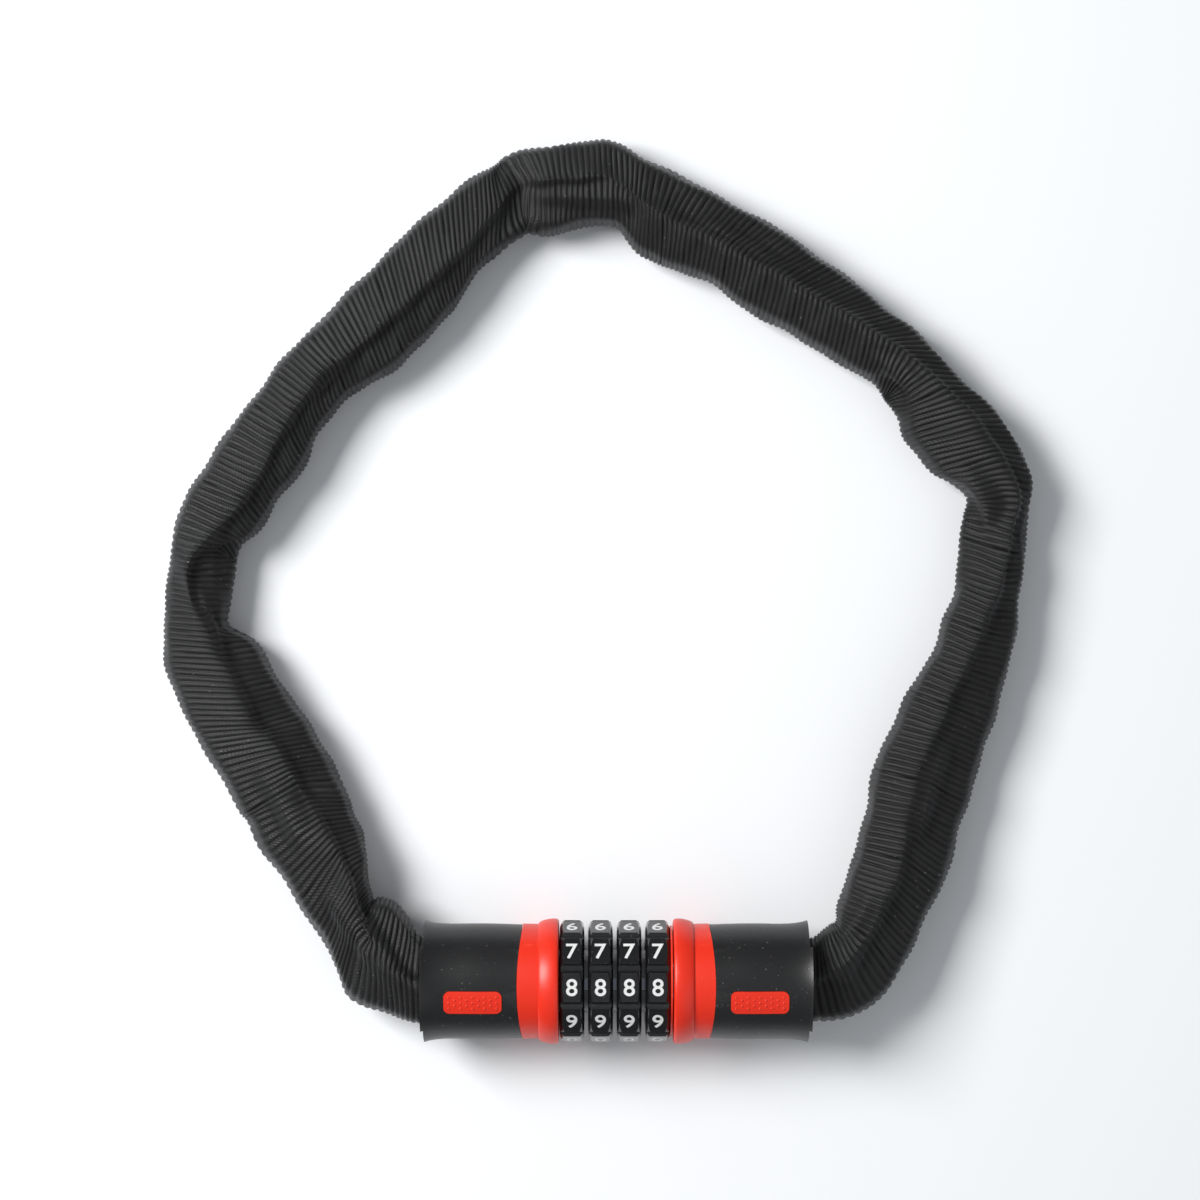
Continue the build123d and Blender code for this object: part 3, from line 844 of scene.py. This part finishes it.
        # The crest mask shapes the ribs and also paints shade into their valleys through the
        # webbing's colour
        crest = np.abs(np.sin(math.pi * phase)) ** self.crest_power
        depth = self.rib_depth * (1 + self.depth_change * np.sin(ribs * self.depth_rate))[:, None]
        tube = tube + normal * (depth * (crest - 1))[:, :, None]
        tube[:, :, 2] = np.maximum(tube[:, :, 2], 0.0)
        weave = np.stack(np.broadcast_arrays(
            turn[None] / (2 * math.pi) * self.cut_width, ribs[:, None] * self.rib), axis=2)
        return tube, weave, crest

    def pushed(self, tube: np.ndarray, normal: np.ndarray, gap: float) -> np.ndarray:
        """The tube with every point moved out along its normal until it clears the links.

        Each link counts as a flat bar with rounded ends, in the place of its own mesh.

        Args:
            tube: points shaped rows × around × 3.
            normal: the directions to move in, of the same shape.
            gap: the distance to keep from each link.

        Returns:
            The moved points.
        """
        tube = tube.copy()
        for name in self.links:
            points = np.array([v.co for v in frame["nodes"][name].data.vertices])
            centre = (points.min(0) + points.max(0)) / 2
            _, axes = np.linalg.eigh(np.cov((points - centre).T))
            half = np.abs((points - centre) @ axes).max(0)
            distance = np.linalg.norm(self.row_middle - centre[:2], axis=1)
            near = distance < half.max() + self.push_reach
            thin, wide, long = half
            for _ in range(self.push_rounds):
                at = np.abs((tube[near] - centre) @ axes)
                rim = np.hypot(np.maximum(at[:, :, 2] - (long - wide), 0), at[:, :, 1]) - wide
                face = at[:, :, 0] - thin
                away = np.hypot(np.maximum(rim, 0), np.maximum(face, 0))
                away += np.minimum(np.maximum(rim, face), 0)
                step = np.clip(gap - away, 0, self.push_most)
                tube[near] += normal[near] * step[:, :, None]
        return tube

    @staticmethod
    def normals(tube: np.ndarray) -> np.ndarray:
        """Outward normals of a grid of points.

        Args:
            tube: points shaped rows × around × 3.

        Returns:
            Unit normals of the same shape.
        """
        along = np.gradient(tube, axis=0)
        across = np.roll(tube, -1, 1) - np.roll(tube, 1, 1)
        normal = np.cross(across, along)
        return normal / np.maximum(np.linalg.norm(normal, axis=2, keepdims=True), 1e-12)

    def cuts(self) -> list[int]:
        """The row at the middle of every link but the two end ones, at a valley.

        Returns:
            Row numbers, from the left mouth on.
        """
        found = []
        for name in self.links[1:-1]:
            low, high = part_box(name)
            middle = np.array(((low + high) / 2)[:2])
            row = int(np.argmin(np.linalg.norm(self.row_middle - middle, axis=1)))
            found.append(round(row / self.rows_per_rib) * self.rows_per_rib)
        return found

    def piece(self, name: str, tube: np.ndarray, weave: np.ndarray,
              crest: np.ndarray) -> bpy.types.Object:
        """One stretch of the tube as an object, open at both ends.

        Args:
            name: the piece's name.
            tube: its points, shaped rows × around × 3.
            weave: its UV coordinates, shaped rows × around × 2.
            crest: 1 on the ribs' crests and 0 in their valleys, shaped rows × around; it masks the
                painted shade in the valleys.

        Returns:
            The object.
        """
        rows, around = tube.shape[:2]
        grid = np.arange(rows * around).reshape(rows, around)
        nxt = np.roll(grid, -1, 1)
        quads = np.stack([grid[:-1], nxt[:-1], nxt[1:], grid[1:]], axis=2).reshape(-1, 4)
        mesh = bpy.data.meshes.new(name)
        mesh.from_pydata(tube.reshape(-1, 3).tolist(), [], quads.tolist())
        layer = mesh.uv_layers.new(name="weave")
        layer.data.foreach_set("uv", weave.reshape(-1, 2)[quads.ravel()].ravel())
        # The crest attribute lets the webbing finish paint shade into the rib valleys
        tint = mesh.attributes.new("crest", "FLOAT", "POINT")
        tint.data.foreach_set("value", crest.ravel().astype(np.float32))
        mesh.shade_smooth()
        return mesh_object(name, mesh)

    def build(self, paint: Paintshop) -> None:
        """Makes all the pieces, each across its own pivot; a piece whose two links share no joint
        rides on the first link, and the others stay where they are built.

        Args:
            paint: the finishes.
        """
        self.links = sorted(n for n in frame["nodes"] if n.startswith("link_"))
        tube, weave, crest = self.surface()
        rows = [0, *self.cuts(), len(tube) - 1]
        joints = {frozenset((j["parent"], j["child"])): j for j in frame["joints"]}
        for k, (start, end) in enumerate(zip(rows, rows[1:])):
            first, second = self.links[k], self.links[k + 1]
            part = slice(start, end + 1)
            piece = self.piece(f"sleeve_{k + 1:02d}", tube[part], weave[part], crest[part])
            paint.dress(piece, paint.by_slot[Slot.FABRIC])
            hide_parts("fabric_sleeve")
            joint = joints.get(frozenset((first, second)))
            if joint is None:
                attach(piece, first)
            else:
                heading = self.middle(second) - self.middle(first)
                heading.z = 0
                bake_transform(piece)

    @staticmethod
    def middle(node: str) -> Vector:
        """The middle of a frame part's box."""
        low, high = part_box(node)
        return (low + high) / 2


# --------------------------------------------------------------------------- studio


@dataclass(frozen=True)
class Lamp:
    """A square soft light: where it stands, its side and its power in watts."""

    name: str
    place: tuple[float, float, float]
    size: float
    power: float


@dataclass
class Studio:
    """Pale floor, soft light from the upper left and the camera above."""

    lamps: tuple[Lamp, ...] = (Lamp("key", (-0.85, 0.45, 0.95), 0.6, 22.0),
                               Lamp("fill", (0.9, -0.5, 0.9), 1.2, 2.0))
    view_middle: tuple[float, float] = (-4.16 * MM, 99.06 * MM)
    camera_z: float = 0.9162
    view_width: float = 0.312
    view_height_z: float = 0.0162
    sensor_mm: float = 36.0
    clip_start: float = 0.01
    floor_half: float = 3.0
    floor_drop: float = 0.05 * MM
    floor_roughness: float = 0.7
    mottle_scale: float = 6.0
    floor_pale: Colour = (0.84, 0.85, 0.87)
    floor_palest: Colour = (0.87, 0.88, 0.89)
    sky_colour: Colour = (0.92, 0.96, 1.0)
    horizon: float = 0.12
    zenith: float = 0.44

    def build(self) -> None:
        """Sets the floor, lights, sky and camera."""
        self.floor()
        for lamp in self.lamps:
            self.light(lamp)
        scene = bpy.context.scene
        scene.world = self.sky()
        scene.view_settings.view_transform = "Standard"
        data = bpy.data.cameras.new("camera")
        data.sensor_width = self.sensor_mm
        data.lens = self.sensor_mm * (self.camera_z - self.view_height_z) / self.view_width
        data.clip_start = self.clip_start
        camera = bpy.data.objects.new("camera", data)
        camera.location = (*self.view_middle, self.camera_z)
        scene.collection.objects.link(camera)
        scene.camera = camera

    def sky(self) -> bpy.types.World:
        """A pale sky, brighter overhead than at the horizon.

        Returns:
            The world.
        """
        world = bpy.data.worlds.new("sky")
        world.use_nodes = True
        tree = world.node_tree
        background = tree.nodes["Background"]
        background.inputs["Color"].default_value = (*self.sky_colour, 1.0)
        place = tree.nodes.new("ShaderNodeTexCoord")
        split = tree.nodes.new("ShaderNodeSeparateXYZ")
        rise = tree.nodes.new("ShaderNodeMapRange")
        rise.inputs["To Min"].default_value = self.horizon
        rise.inputs["To Max"].default_value = self.zenith
        tree.links.new(place.outputs["Generated"], split.inputs["Vector"])
        tree.links.new(split.outputs["Z"], rise.inputs["Value"])
        tree.links.new(rise.outputs["Result"], background.inputs["Strength"])
        return world

    def floor(self) -> None:
        """A pale, faintly mottled floor."""
        half = self.floor_half
        mesh = bpy.data.meshes.new("floor")
        mesh.from_pydata([(-half, -half, 0), (half, -half, 0), (half, half, 0),
                          (-half, half, 0)], [], [(0, 1, 2, 3)])
        piece = mesh_object("floor", mesh)
        piece.location.z = -self.floor_drop
        material = bpy.data.materials.new("pale_floor")
        material.use_nodes = True
        tree = material.node_tree
        noise = tree.nodes.new("ShaderNodeTexNoise")
        noise.inputs["Scale"].default_value = self.mottle_scale
        tint = mix(tree, noise.outputs["Fac"], self.floor_pale, self.floor_palest)
        shader = tree.nodes["Principled BSDF"]
        shader.inputs["Roughness"].default_value = self.floor_roughness
        tree.links.new(tint, shader.inputs["Base Color"])
        mesh.materials.append(material)

    def light(self, lamp: Lamp) -> None:
        """Adds a light aimed at the middle of the object.

        Args:
            lamp: its place, size and power.
        """
        data = bpy.data.lights.new(lamp.name, "AREA")
        data.size = lamp.size
        data.energy = lamp.power
        holder = bpy.data.objects.new(lamp.name, data)
        holder.location = lamp.place
        aim = Vector((*self.view_middle, 0)) - Vector(lamp.place)
        holder.rotation_euler = aim.to_track_quat("-Z", "Y").to_euler()
        bpy.context.scene.collection.objects.link(holder)


def main() -> None:
    """Builds the model in order."""
    logging.basicConfig(level=logging.INFO, format="%(message)s")
    paint = Paintshop()
    Studio().build()
    Hardware().dress(paint)
    Digits().build(paint)
    GripDots().build(paint)
    Sleeve().build(paint)


if __name__ == "__main__":
    main()
